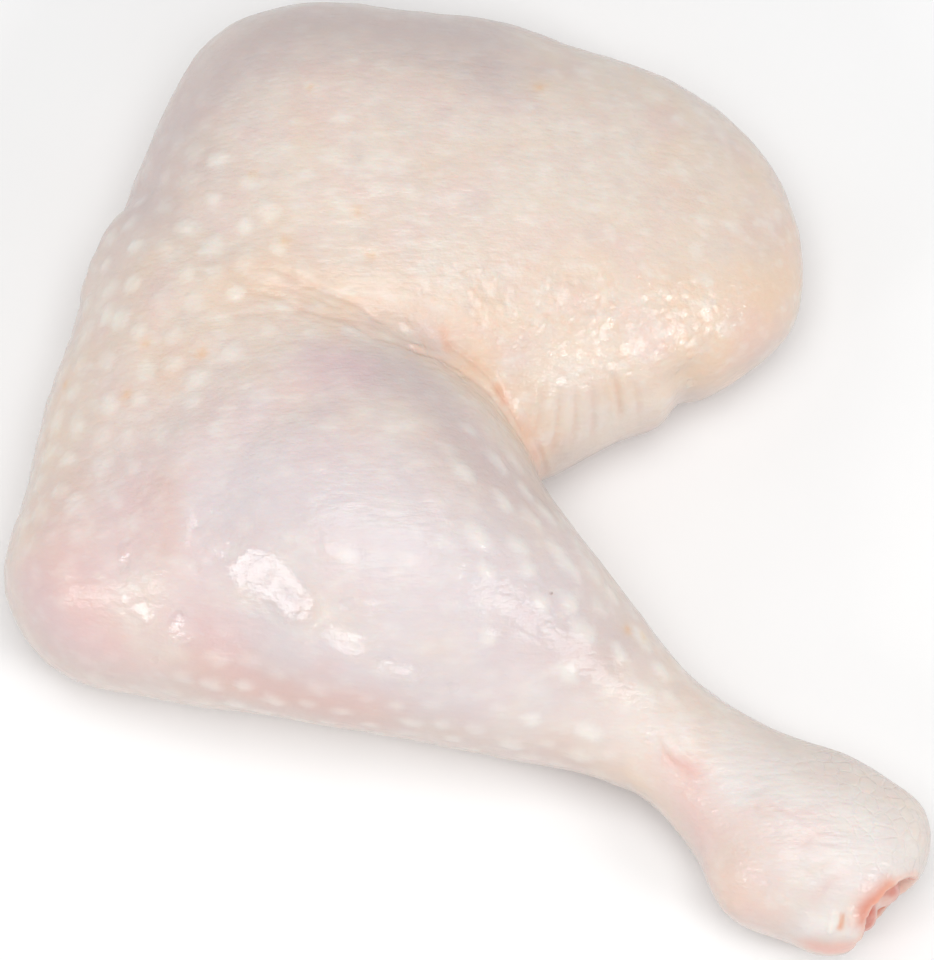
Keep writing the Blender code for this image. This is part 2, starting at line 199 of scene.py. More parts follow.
# Wet flats that throw a light's glint back at the camera: the light, marks, half width, and how flat.
FLATS = (
    ("key", ((-30, -25.2, 39.2), (-27, -27.6, 39.3), (-24, -30.2, 39)), 3.2, 0.75),
    ("key", ((-36.5, -21, 38.4), (-35.4, -22.4, 38.4)), 1, 0.7),
    ("key", ((-38.6, -23.4, 36.8),), 0.8, 0.85),
    ("key", ((-42.3, -30.6, 31.6), (-41.6, -32.2, 30.4)), 1.3, 0.8),
    ("key", ((-47.1, -28, 31.4), (-46.2, -29.4, 30.8)), 1.2, 0.8),
    ("key", ((-49.2, -26.4, 30.6),), 0.6, 0.85),
    ("key", ((-50.1, -21.8, 33.2), (-49.3, -20.6, 34)), 0.9, 0.85),
    ("key", ((-38.5, -17.2, 38.7), (-37.4, -16.2, 39.2)), 1, 0.6),
    ("key", ((-34.3, -21.2, 39.3), (-33.1, -20.7, 40.1)), 0.7, 0.85),
    ("key", ((-33.7, -24.9, 38), (-32.5, -23.5, 39.3)), 0.6, 0.85),
    ("key", ((-26.2, -21.1, 42.9), (-24.5, -21.8, 43.2)), 0.7, 0.7),
    ("key", ((-17.1, -30.5, 40.8), (-13.2, -31.4, 40.6)), 0.8, 0.6),
    ("key", ((-45.5, -34.2, 25.2),), 0.6, 0.7),
    ("key", ((-57.2, -10.8, 30.8),), 0.6, 0.7),
    ("top", ((-19.3, -23.5, 43.8), (-15.5, -24.5, 44)), 1, 0.8),
    ("low", ((-18.4, -34.6, 37), (-16.2, -35.6, 36)), 1.9, 0.85),
    ("low", ((-11.8, -37.8, 33.8), (-7.5, -38.8, 32.8)), 1.3, 0.85),
    ("low", ((-1, -40.5, 30.5),), 1, 0.8),
    ("fill", ((25, 14.6, 27.2), (26.4, 15, 26.8)), 1.2, 0.6),
    ("fill", ((33, 16.9, 24.7),), 1.2, 0.6),
    ("fill", ((36.6, 20.5, 25),), 1.1, 0.6),
    ("fill", ((17.2, 21, 31.9), (19.6, 20, 31.4)), 1.5, 0.5),
    ("fill", ((21.6, 16.5, 29.3),), 1.4, 0.6),
    ("fill", ((5.6, 20.8, 34.6),), 1.3, 0.5),
)

# The small glints in the crinkled fat: how many, their half widths, how flat, and the lights they may face.
GLINTS = 130
GLINT_HALF_WIDTHS = (0.4, 0.75)
GLINT_FLATNESS = (0.6, 0.95)
GLINT_LIGHTS = ("fill", "top")

# Where feather follicles stand out of the skin: marks, reach, strength, and how stretched along the shank.
FOLLICLE_FIELDS = (
    (((-52, 34, 26), (-50, 12, 30), (-58, -4, 27)), 17, 1, 0),
    (((-38, 38, 34), (-30, 18, 37)), 12, 0.8, 0),
    (((-36, -37, 22), (-10, -43, 20), (20, -46, 19)), 9, 1, 0.2),
    (((4, -10, 38), (16, -24, 33), (30, -38, 22)), 11, 1, 1),
    (((-2, -14, 42), (8, -24, 38)), 10, 0.7, 0.8),
)
FOLLICLES_ELSEWHERE = 0.25
# Where they hardly show: marks, reach.
NO_FOLLICLES = (
    (((38, -52, 20), (52, -60, 18), (60, -66, 14)), 15),
    (((24, 14, 27), (40, 18, 22), (50, 26, 16)), 13),
    (((-30.5, -25.6, 39.2), (-20, -33, 38)), 6),
)
# The follicles that stand out most in the photograph. The others are scattered between them.
CLEAR_FOLLICLES = (
    (-36.7, 42, 33.6), (-37.2, 35.4, 34.2), (-41.9, 32, 32.4), (-37.4, 28.1, 34.8), (-28.6, 32.6, 36.8),
    (-32.7, 30.2, 36), (-48.9, 30.1, 28.9), (-53.5, 28.8, 24.5), (-41.4, 23.8, 34.3), (-49, 23.4, 30.5),
    (-52.9, 19.5, 28.4), (-33.8, 19.8, 36.3), (-39.6, 6.1, 36.3), (-34, 9.7, 37.4), (-52.5, 3.9, 31.3),
    (-40.1, 2.7, 36.7), (-27.6, 26.8, 37.1), (-32.4, 37.8, 35.6), (-51.3, 17.7, 30.1), (3.8, -25.6, 40.8),
    (9.6, -24.4, 38), (16, -22.6, 32.9), (11.4, -28.5, 35.8), (15.8, -27.6, 33.2), (22, -24.4, 26.8),
    (23.4, -33.6, 26.8), (29.4, -34.4, 22.2), (3.8, -34.4, 35.8), (18, -31.8, 30.9), (15.5, -37.7, 29.1),
    (18.8, -44.3, 21.8), (10.4, -43.2, 24.3), (2.6, -21.4, 42.3), (8.5, -21.1, 39), (14.4, -20.9, 34.1),
    (0, -10.8, 42.8), (6.3, -14.3, 39.8), (12.2, -13.5, 33.2),
)
# How the scattered follicles differ: height, size and whiteness, from and to. The clear ones are all alike.
FOLLICLE_SPREAD = ((0.5, 1.1), (0.75, 1.2), (0.4, 1))
CLEAR_HEIGHT, CLEAR_WHITENESS = 1.1, 1.15

# The middle line of the crinkled fat beside the crotch.
CRINKLED_FAT = ((-2, 18, 35.5), (10, 17, 33), (22, 17, 30), (36, 19, 25))

# Where the skin's colour changes. For each field: marks, reach, strength.
COLOUR_FIELDS = {
    # muscle that shows through at the knee, along the flank and beside the fold
    "flush": (
        (((-59.4, -25.6, 27.4), (-53.4, -18, 32.6), (-46, -11, 36.5)), 9, 0.8),
        (((-63.3, -23.3, 25.4), (-59.5, -29.1, 24.1), (-47.7, -34.7, 22.2)), 6, 0.6),
        (((-32.7, -36.5, 27.4), (-23.9, -38.5, 28.9)), 5, 0.4),
        (((-21, -9.5, 43),), 4.5, 0.5),
        (((-32.7, -2, 40.4), (-21.5, 1.9, 41.8)), 7, 0.5),
        (((-43, -30.2, 31.7), (-38.5, -22.8, 37.3)), 6, 0.5),
        (((-30, -38, 26), (-18, -40, 25)), 4.5, 0.6),
    ),
    # thin skin over the drumstick
    "lilac": (
        (((-38.5, -14.1, 39.1), (-19.3, -16.2, 45), (-6.2, -25, 43.7), (10, -30, 37)), 14, 0.9),
        (((-30, -34, 33), (1.1, -41.3, 28)), 7.5, 0.85),
    ),
    # a bruise beside the fold, and darker mauve at the knee's end and below the knee
    "mauve": (
        (((-20, 7, 39.6), (-16, 5.5, 40.8)), 4, 0.8),
        (((-63.3, -23.3, 25.4), (-59.5, -29.1, 24.1), (-54, -31, 24)), 5, 0.6),
        (((-40.8, -30.5, 32.5), (-36, -32.5, 32)), 4, 0.5),
    ),
    # painted shade: grey where the skin lies in shade, beside the fold and the crotch, along the thigh's outer
    # and back edges, under the knee's big glint, on the ankle, on the drumstick's lower side and along the
    # flank
    "grey": (
        (((-12.1, 5.7, 40.8), (-4.8, 2.8, 40.1), (1.1, -7.5, 41.3), (9, -11, 36)), 6, 0.72),
        (((-48, 40, 24), (-40, 54, 27), (-22, 66, 28), (0, 64, 26)), 10, 0.78),
        (((2.7, 57.3, 32.6),), 6, 0.5),
        (((-30, -25.2, 39.2), (-24, -30.2, 39)), 3.5, 0.6),
        (((51.8, -65.8, 22.8), (58, -66.5, 22)), 4, 0.35),
        (((52.4, -65.8, 22.8), (52.4, -69.9, 21), (47, -67, 20)), 4, 0.3),
        (((-9, 15.8, 36), (-5, 14.6, 35.3)), 3, 0.3),
        (((-21.2, 22.8, 37.6),), 3.5, 0.2),
        (((8.5, -31.6, 35.9), (15.8, -33.2, 31.6), (23.3, -31.7, 27.2), (17.3, -38.2, 28)), 4.5, 0.4),
        (((-36.3, -30.2, 33.9), (-31.9, -33.4, 32.1), (-26, -36.9, 30.9)), 4.5, 0.25),
        (((-35.7, -36.2, 26.7), (-28.3, -37.9, 27.1), (-19.6, -41.2, 20.5)), 5, 0.45),
        (((-30, -40, 18), (-19.6, -41.2, 20.5), (-9.3, -42.8, 16)), 4.5, 0.35),
    ),
    # yellow fat: in the fold and the crotch, over the pleats, at the thigh's end, round the knee
    "peach": (
        (((-33, 21, 36.4), (-24, 20, 37), (-9, 16, 35.6), (1.1, 11.9, 32.8)), 4.5, 0.8),
        (((1.1, 11.9, 32.8), (7, 5, 27.5), (12, 2, 20)), 4.5, 0.9),
        (((38.8, 17.7, 21.9), (47.2, 26.4, 20.5), (50, 34, 16)), 9, 0.7),
        (((-30, 28, 37), (-12, 30, 37.5)), 10, 0.1),
        (((-21.2, 22.8, 37.6),), 4, 0.2),
        (((-29, 8.5, 38.5),), 4, 0.5),
        (((5.6, 19.3, 34.3), (14.6, 20, 32.5), (23.6, 16.7, 28.7)), 6, 0.25),
        (((23.7, 6.3, 18.2), (20.7, 4.1, 15.4), (16.1, 4.6, 22.8)), 5, 0.6),
        (((16.1, 10.6, 28), (26.7, 8.7, 20.3), (34.3, 12.3, 19.2)), 6.5, 0.8),
        (((-43.4, 8, 34.8),), 4, 0.4),
        (((-43.2, -0.3, 35.9), (-43, -8.7, 37.2)), 4.5, 0.5),
        (((-60, 10, 24), (-61, -2, 24), (-61.5, -12, 25)), 5, 0.35),
        (((30.8, -54.8, 12.1), (23.4, -48.3, 16.2)), 4, 0.6),
        (((31, 16.5, 26),), 5, 0.3),
        (((14, 24, 34), (26, 28, 31), (36, 34, 26)), 9, 0.3),
        (((24, 6, 18), (27, 9, 16)), 4, 0.5),
    ),
    # the deepest of the crotch, the cut's edge, and faintly the flank, the ankle and the knee
    "amber": (
        (((-3, 14.5, 34.3), (-2.3, 12.1, 33.2)), 0.8, 0.45),
        (((-0.1, 10.3, 32.1), (2.6, 8.8, 31)), 1.4, 0.25),
        (((5.2, 6.9, 29.4), (6.1, 5.6, 28.4)), 1, 0.6),
        (((7.1, 4.2, 27.2), (8, 2.8, 25.7)), 1.2, 0.45),
        (((9.1, 1.5, 24.1), (10.6, -0.3, 20.3), (11.4, -1.4, 14)), 1.8, 0.4),
        (((62.8, -67.8, 19.4), (61.8, -68.8, 19.2)), 1.5, 0.9),
        (((52.4, -75, 12.5), (57.6, -74.4, 12)), 2.4, 0.6),
        (((-37, -35, 26), (-27, -38.5, 24), (-16, -40.5, 22)), 5, 0.13),
        (((39.4, -60.3, 19.7), (42, -66, 15)), 4, 0.13),
        (((-43.5, -11, 37), (-42.9, -16.6, 37.4), (-43.3, -20.5, 36.4)), 3, 0.2),
        (((-43.5, 7, 35.3),), 3.5, 0.13),
        (((46.5, 22, 19.2), (43.4, 17.8, 17.6)), 5, 0.16),
    ),
    # the cut's upper lip, which turns outwards
    "flesh": (
        (((62.8, -68.2, 19.6), (61, -69.6, 19.9), (59.2, -70.9, 19.9), (58.9, -72.4, 18.6)), 1.7, 1),
    ),
    # the ankle's creases and fine lines, the flank, the knee's end and the cut's edge
    "blush": (
        (((31, -48, 19.8), (33.8, -49.5, 20)), 1.2, 0.5),
        (((32.7, -51.7, 18.6), (35.1, -57.8, 16.6)), 4.5, 0.42),
        *((line, 0.9, strength) for line, strength in zip(ANKLE_LINES, (0.13, 0.14, 0.12))),
        (((-36, -34, 28), (-32, -37.6, 24), (-24, -39.6, 25), (-14, -40, 25)), 5, 0.25),
        (((-59.4, -20.2, 29.9), (-57.1, -24.7, 29.3), (-52, -31.3, 26)), 4.5, 0.25),
        (((-48.1, -13.4, 35.1), (-46.7, -19, 35.4)), 3.2, 0.2),
        (((-36.3, -30.2, 33.9), (-31.9, -33.4, 32.1)), 4, 0.1),
        (((43, -60.2, 22.4), (51, -59.9, 23.6)), 4, 0.14),
        (((40, -66, 18), (44, -72, 15)), 4, 0.2),
        (((52.4, -75, 12.5), (57.6, -74.4, 12)), 2.4, 0.7),
        (((59.6, -71.2, 18.9), (61.3, -69.2, 19.6)), 2, 0.6),
    ),
    # thick pale skin on the ankle, pale skin over the pleats that is partly painted light on their front, and
    # white fat round the tendon's slit
    "milk": (
        (((40, -52, 21), (52.5, -58.4, 23.6), (60, -62, 22)), 10, 0.85),
        (((15.9, -43, 23.7), (8, -43.5, 23)), 5, 0.4),
        (((-43.2, -0.3, 35.9), (-43, -6, 37.2)), 4, 0.25),
        (((-29, 8.5, 38.5),), 4, 0.3),
        # over the pleats: partly pale skin, partly painted light on their front-facing side
        (((16.1, 9, 27), (22, 5.5, 20), (27, 9, 16)), 5, 0.3),
        (((57.8, -72.6, 18), (53.8, -73, 18)), 2.4, 0.9),
        (((51.3, -72.3, 18.4), (50.1, -73.5, 15.2)), 2.2, 0.8),
        (((27.7, -39.7, 23.1), (24, -44, 22)), 5, 0.5),
    ),
    # white blotches over the pleats and the ankle, and painted glints on the drumstick: white spots where its
    # wet skin would catch the light
    "follicle": (
        # over the pleats: partly their whitish ridges, partly painted light on their front-facing side
        (((26.7, 7.8, 18.4), (20.7, 4.1, 15.4), (16.1, 4.6, 22.8)), 4.5, 0.8),
        (((16, 11.5, 28), (24, 12.5, 25.5)), 3, 0.6),
        # painted glints: white spots where the wet drumstick would catch the key light
        (((-17.4, -24.3, 43.8), (-16.2, -24.5, 44)), 0.9, 0.9),
        (((-25.4, -21.4, 43.1),), 0.9, 0.9),
        (((-9.4, -26.8, 43.3),), 0.9, 0.7),
        (((48.1, -52.6, 22.4), (49.8, -55.2, 23.2)), 1.8, 0.7),
        (((56, -58, 23.2), (60.5, -58.2, 22.4)), 1.7, 0.7),
        (((55.5, -64.6, 23.4), (59, -63, 22.8)), 1.6, 0.6),
        (((51.8, -65.8, 22.8), (49, -67, 21.5)), 1.4, 0.6),
        (((53.5, -72.5, 18.6), (57.6, -72.3, 18.8)), 1.5, 0.9),
    ),
    # crinkled fat beside the crotch and in the ankle
    "crinkle": (
        (CRINKLED_FAT, 8, 0.9),
        (((-4, 24, 37), (-12, 32, 38)), 8, 0.25),
        (((29, -45, 21), (33, -49, 20)), 4, 0.5),
        (((41, -61, 21.5), (46, -68, 18)), 4, 0.4),
    ),
    # scales towards the foot
    "scaly": (
        (((56, -48.5, 19), (62.8, -53.2, 19.5), (66, -60, 18)), 7, 1),
    ),
}

# Specks of yellow fat: place, half width.
FRECKLES = (
    ((-31.5, 39, 35.7), 0.5), ((-15.7, 32.4, 37.7), 0.65), ((-13.6, 25.1, 37.5), 0.5),
    ((-26.6, 27.4, 37.3), 0.8), ((-38.6, 10, 36.1), 0.6), ((-49.9, 4.9, 32.6), 0.7),
    ((-47.1, 12.9, 33), 0.5), ((24.5, -29.6, 25.8), 0.6), ((26.8, -29.8, 23.4), 0.6),
    ((11.7, 54.8, 31.6), 0.7), ((-22.9, 53.1, 35.6), 0.5), ((-59.5, 9.5, 24.4), 0.7),
)
DARK_SPECK = ((13.2, -27.2, 35.1), 0.17)

# The slit in the tendon's white end: marks, depth, half width.
TENDON_SLIT = (
    ((55.5, -71.2, 20.5), (55.7, -72.2, 19.6), (55.6, -73.1, 18.4), (55.2, -73.9, 17)),
    0.22, 0.45,
)

# The colour layers of the skin, from the lowest: field, strength. A field and its colour share a name. The
# side shade and grey layers are painted shade, the fold layer is partly painted shade, and the follicle layer
# also holds painted glints.
SKIN_LAYERS = (
    ("lilac", 1.0), ("peach", 1.0), ("flush", 0.9), ("lilac", 0.55), ("grey", 0.9), ("mauve", 1.0),
    ("milk", 1.0), ("shade", 0.5), ("amber", 1.0), ("blush", 1.0), ("between", 0.15), ("follicle", 0.45),
    ("fold", 0.6), ("freckle", 0.5), ("flesh", 0.7), ("gristle", 0.55),
)
# The skin is laid in the flush colour up to this height over the table, this strongly, so it turns pinker and
# darker towards the bottom.
UNDERSIDE_HEIGHT, UNDERSIDE_FLUSH = 9.0, 0.35

# Soft patches of colour: size in millimetres, the noise they start and end at, and strength.
SKIN_PATCHES = (9.0, 0.45, 0.72, 0.35)
CREASE_PATCHES = (1.5, 0.5, 0.65, 0.28)
FLESH_PATCHES = (3.2, 0.45, 0.68, 0.45)
BOARD_PATCHES = (60.0, 0.3, 0.8, 0.3)
# The mottle over the skin's flush: colour, scale along x, and its patches.
MOTTLES = (
    ("flush", 1.0, 8.0, 0.48, 0.7, 0.35),
    ("grey", 1.0, 5.0, 0.52, 0.72, 0.18),
    ("follicle", 0.6, 2.6, 0.5, 0.75, 0.5),
)

# Grain too fine for the mesh: size and depth in millimetres.
PORES = (0.8, 0.08)
CREASES = (0.9, 0.15)
ANKLE_GRAIN = (1.3, 0.22)
FAT_GRAIN = (2.2, 0.2)
SCALES = (2.4, 0.09)
WATER_FILM = (1.8, 0.14)
WATER_ON_FAT = (1.4, 0.9)
GRISTLE_GRAIN = (2.6, 0.1)
# How strong the creases and the film are, dry and where water fills them.
DRY_RELIEF, WET_RELIEF = 0.8, 0.288
# The skin's roughness where it is damp, from and to, and where it is wet.
DAMP_ROUGHNESS = (0.34, 0.5)
WET_ROUGHNESS = 0.13


def linear(hex_colour):
    """An sRGB colour such as "ead7c6" as linear red, green, blue and alpha."""
    channels = [int(hex_colour[i : i + 2], 16) / 255 for i in (0, 2, 4)]
    return tuple(c / 12.92 if c <= 0.04045 else ((c + 0.055) / 1.055) ** 2.4 for c in channels) + (1.0,)


def colour(name, description, hex_colour):
    """A colour that a user can change."""
    return bpy.props.FloatVectorProperty(
        name=name,
        description=description,
        subtype="COLOR",
        size=4,
        min=0.0,
        max=1.0,
        default=linear(hex_colour),
    )


def length(name, description, millimetres):
    """A length that a user can change."""
    return bpy.props.FloatProperty(
        name=name, description=description, unit="LENGTH", precision=5, min=0.0, default=millimetres * MM
    )


def share(name, description, default, most=1.0):
    """A plain number that a user can change."""
    return bpy.props.FloatProperty(name=name, description=description, min=0.0, max=most, default=default)


class LegSkinSettings(bpy.types.PropertyGroup):
    """Sizes and colours of the skin."""

    point_spacing: length("Point spacing", "How far apart the skin's points are", 0.74)
    follicle_spacing: length("Follicle spacing", "How far apart the feather follicles are", 4.4)
    follicle_width: length("Follicle width", "How wide a raised follicle is", 4.1)
    follicle_height: length("Follicle height", "How far the most raised follicles stand out", 0.26)
    cream: colour("Cream", "Skin with fat under it", "e7dacf")
    peach: colour("Peach", "Yellow fat in the folds and at the thigh's end", "ead0b8")
    flush: colour("Flush", "Muscle that shows pink through the skin", "e4c9c6")
    lilac: colour("Lilac", "Thin skin over the drumstick", "ded5d7")
    mauve: colour("Mauve", "A bruise beside the fold", "dcc4c6")
    # Painted shade as well as a grey tone: this colour darkens the skin where it lies in shade, and lies in
    # random patches.
    grey: colour("Grey", "Thin skin over dark flesh", "ccbdbd")
    blush: colour("Blush", "Bruised and creased skin", "e6b4ac")
    milk: colour("Milk", "Thick pale skin of the ankle", "e7e0dd")
    # Painted shade: this colour darkens the skin's sides, which turn away from the light from above.
    shade: colour("Shade", "Thinner skin on the sides", "c2b2ae")
    between: colour("Between", "Thinner skin between the follicles", "d6b6aa")
    # Also the colour of the painted glints on the drumstick.
    follicle: colour("Follicle", "The fat in a raised follicle", "f1ece4")
    freckle: colour("Freckle", "Specks of yellow fat", "e9b880")
    amber: colour("Amber", "Yellow fat in the deepest folds", "e2a888")
    crease: colour("Crease", "The bottoms of the fine creases in crinkled fat", "ecc4a8")
    # Also painted shade: laid darker where a fold's or pleat's groove is deeper.
    fold: colour("Fold", "The bottom of a fold", "dba98c")
    flesh: colour("Flesh", "The cut meat in the hock", "d97a5a")
    gristle: colour("Gristle", "The skin's cut edge and the pale seams in the cut meat", "f0bca6")
    speck: colour("Speck", "A dark speck on the drumstick", "6a4a3c")


class LegJointSettings(bpy.types.PropertyGroup):
    """Sizes and colours of the joint in the cut hock."""

    point_spacing: length("Point spacing", "How far apart the joint's points are", 0.24)
    cartilage: colour("Cartilage", "The pale gristle of the joint", "e2b6a7")
    marrow: colour("Marrow", "Blood that shows through the gristle", "c9604c")


class LegStageSettings(bpy.types.PropertyGroup):
    """The floor and the lights."""

    floor_size: length("Floor", "Side of the floor", 6000.0)
    floor_colour: colour("Floor colour", "Matt white board", "fbfbfb")
    floor_grain: colour("Floor grain", "The board's faint patches", "f0efed")
    top_power: share("Top light", "Power of the light from above, in watts", 4.9, 100.0)
    key_power: share("Key light", "Power of the light from the front left, in watts", 0.78, 100.0)
    low_power: share("Low light", "Power of the low light from the front, in watts", 0.2, 100.0)
    fill_power: share("Fill light", "Power of the light from the right, in watts", 1.7, 100.0)
    back_power: share("Back light", "Power of the light from behind on the left, in watts", 0.6, 100.0)
    sky: share("Sky", "Strength of the even white light from all round", 0.40, 4.0)


def smooth_step(values):
    """0 below 0, 1 above 1, and a smooth change in between."""
    t = np.clip(values, 0.0, 1.0)
    return t * t * (3.0 - 2.0 * t)


def hill(distance, reach, power=2):
    """1 in the middle, falling away smoothly over the reach. A higher power falls away later."""
    return np.exp(-((distance / reach) ** power))


def unit(vector):
    """The vector made one long."""
    return np.array(vector) / np.linalg.norm(vector)


def soft_noise(points, size, start):
    """Smooth noise of about -1 to 1 at points, with hills about size apart. Each start gives other hills."""
    return np.array([noise.noise(Vector(point)) for point in points / size + start])


def smooth_line(marks, steps=6):
    """A smooth line through the marks, as an array of points."""
    marks = np.array(marks, float) + MOVED
    if len(marks) == 1:
        return np.vstack((marks, marks + 0.01))
    ends = np.vstack((2 * marks[0] - marks[1], marks, 2 * marks[-1] - marks[-2]))
    t = np.linspace(0, 1, steps, endpoint=False)[:, None]
    line = []
    for before, a, b, after in zip(ends, ends[1:], ends[2:], ends[3:]):
        bend = (2 * before - 5 * a + 4 * b - after) * t**2 + (3 * a - before - 3 * b + after) * t**3
        line.append(0.5 * (2 * a + (b - before) * t + bend))
    line.append(marks[-1:])
    return np.vstack(line)


class Surface:
    """The points of a mesh in millimetres, while reliefs and colour fields are laid on them."""

    def __init__(self, piece):
        self.mesh = piece.data
        points = np.empty(len(self.mesh.vertices) * 3, np.float32)
        self.mesh.vertices.foreach_get("co", points)
        self.points = points.reshape(-1, 3).astype(float) / MM
        self.fields = {}
        self.settle()

    def settle(self):
        """Writes the points to the mesh and takes the new normals."""
        self.mesh.vertices.foreach_set("co", (self.points * MM).astype(np.float32).ravel())
        self.mesh.update()
        normals = np.empty(len(self.points) * 3, np.float32)
        self.mesh.vertex_normals.foreach_get("vector", normals)
        self.normals = normals.reshape(-1, 3).astype(float)

    def lift(self, heights, which=slice(None)):
        """Moves points out along their normals."""
        self.points[which] += self.normals[which] * heights[:, None]

    def near(self, marks, reach):
        """The points near a line of marks: their numbers, distances, sides and places along it."""
        line = smooth_line(marks)
        low, high = line.min(0) - reach, line.max(0) + reach
        which = np.flatnonzero(np.all((self.points > low) & (self.points < high), axis=1))
        points, normals = self.points[which], self.normals[which]
        start, run = line[:-1], np.diff(line, axis=0)
        t = np.einsum("psk,sk->ps", points[:, None] - start, run) / np.einsum("sk,sk->s", run, run)
        t = np.clip(t, 0.0, 1.0)
        offsets = points[:, None] - (start + t[..., None] * run)
        nearest = np.argmin(np.einsum("psk,psk->ps", offsets, offsets), axis=1)
        rows = np.arange(len(which))
        offset, way = offsets[rows, nearest], run[nearest]
        out = np.einsum("pk,pk->p", offset, normals)
        across = offset - out[:, None] * normals
        distance = np.linalg.norm(across, axis=1)
        side = np.sign(np.einsum("pk,pk->p", np.cross(normals, way), across))
        along = (nearest + t[rows, nearest]) / len(run)
        kept = (distance < reach) & (np.abs(out) < reach + 3.0)
        return which[kept], distance[kept], side[kept], along[kept]

    def field(self, name):
        """A colour field, which is 0 all over when it is new."""
        return self.fields.setdefault(name, np.zeros(len(self.points)))

    def glow(self, name, marks, reach, strength, wander):
        """Adds to a colour field round a line of marks, fading out unevenly over its reach."""
        field = self.field(name)
        which, distance, _, _ = self.near(marks, reach * 2.0)
        amount = strength * hill(distance * (1.0 + 0.45 * wander[which]), reach)
        field[which] = 1.0 - (1.0 - field[which]) * (1.0 - amount)

    def store(self):
        """Writes the points and the colour fields to the mesh."""
        self.settle()
        for name, field in self.fields.items():
            attribute = self.mesh.attributes.new(name, "FLOAT", "POINT")
            attribute.data.foreach_set("value", field.astype(np.float32))


def select_only(piece):
    """Leaves the piece as the one object selected."""
    bpy.ops.object.select_all(action="DESELECT")
    piece.select_set(True)
    bpy.context.view_layer.objects.active = piece


def copy_node(node, name):
    """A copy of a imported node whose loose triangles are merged."""
    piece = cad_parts[node].copy()
    piece.data = piece.data.copy()
    piece.name = name
    piece.data.name = name
    piece.parent = None
    bpy.context.scene.collection.objects.link(piece)
    for entry in [key for key in piece.keys() if key.startswith("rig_")]:
        del piece[entry]
    piece.data.materials.clear()
    select_only(piece)
    bpy.ops.object.mode_set(mode="EDIT")
    bpy.ops.mesh.select_all(action="SELECT")
    bpy.ops.mesh.remove_doubles(threshold=1e-6)
    bpy.ops.object.mode_set(mode="OBJECT")
    return piece


def remesh(piece, spacing):
    """Covers the piece in even faces."""
    fresh = piece.modifiers.new("even faces", "REMESH")
    fresh.mode = "VOXEL"
    fresh.voxel_size = spacing
    fresh.use_smooth_shade = True
    select_only(piece)
    bpy.ops.object.modifier_apply(modifier=fresh.name)


def smooth(piece, repeats, weights=None):
    """Evens out the facets, less where the weights are low."""
    even = piece.modifiers.new("smooth", "SMOOTH")
    even.factor = 0.5
    even.iterations = repeats
    if weights is not None:
        group = piece.vertex_groups.new(name="smooth")
        levels = np.round(weights * 10).astype(int)
        for level in range(1, 11):
            group.add(np.flatnonzero(levels == level).tolist(), level / 10, "REPLACE")
        even.vertex_group = group.name
    select_only(piece)
    bpy.ops.object.modifier_apply(modifier=even.name)
    piece.vertex_groups.clear()


def refine(piece):
    """Halves the faces where the detail is fine: folds, pleats, the slit, the speck and crinkled fat."""
    skin = Surface(piece)
    fine = np.zeros(len(skin.points), bool)
    lines = [(marks, lip_place + 1.2) for marks, _, _, _, lip_place in FOLDS]
    lines += [((upper, lower), 1.8) for upper, lower, _ in PLEATS]
    lines += [(TENDON_SLIT[0], 3.0), ((DARK_SPECK[0],), 1.0), (CRINKLED_FAT, 7.0)]
    for marks, reach in lines:
        which, _, _, _ = skin.near(marks, reach)
        fine[which] = True
    select_only(piece)
    bpy.context.tool_settings.mesh_select_mode = (True, False, False)
    bpy.ops.object.mode_set(mode="EDIT")
    bpy.ops.mesh.select_all(action="DESELECT")
    bpy.ops.object.mode_set(mode="OBJECT")
    piece.data.vertices.foreach_set("select", fine)
    bpy.ops.object.mode_set(mode="EDIT")
    bpy.ops.mesh.subdivide(number_cuts=1, smoothness=1.0)
    bpy.ops.object.mode_set(mode="OBJECT")


def hock_distance(points):
    """How far points are from the bowl's middle, as a share of its size, and their places on its axes."""
    local = (points - np.array(HOCK_PLACE) - MOVED) @ np.array(HOCK_AXES).T
    return np.linalg.norm(local / np.array(HOCK_SIZES), axis=1), local


def swell(skin):
    """Adds the broad swellings and dents, and the uneven plumpness of real flesh."""
    for marks, reach, height in SWELLINGS:
        which, distance, _, _ = skin.near(marks, reach * 2.2)
        skin.lift(height * hill(distance, reach), which)
    skin.settle()
    standing = smooth_step(skin.points[:, 2] / 4.0)
    plump = sum(height * soft_noise(skin.points, size, start) for height, size, start in PLUMPNESS)
    skin.lift(plump * standing)
    skin.settle()


def glint_way(place, lamp):
    """Which way a flat at a place must face to throw the lamp's light into the camera."""
    return unit(unit(lamp - place) + unit(np.array(camera_place()) / MM - place))


def scatter_glints(skin, lamps):
    """Random wet flats in the crinkled fat, as rows like those of FLATS, for the lights they face most."""
    draw = np.random.default_rng(5)
    crinkle = skin.fields["crinkle"] * smooth_step(skin.normals[:, 2] * 2.0)
    rows = []
    for number in draw.choice(len(skin.points), GLINTS, replace=False, p=crinkle**2 / np.sum(crinkle**2)):
        place, normal = skin.points[number], skin.normals[number]
        name = max(GLINT_LIGHTS, key=lambda light: normal @ glint_way(place, lamps[light]))
        size = (draw.uniform(*span) for span in (GLINT_HALF_WIDTHS, GLINT_FLATNESS))
        rows.append((name, (tuple(place - MOVED),), *size))
    return rows


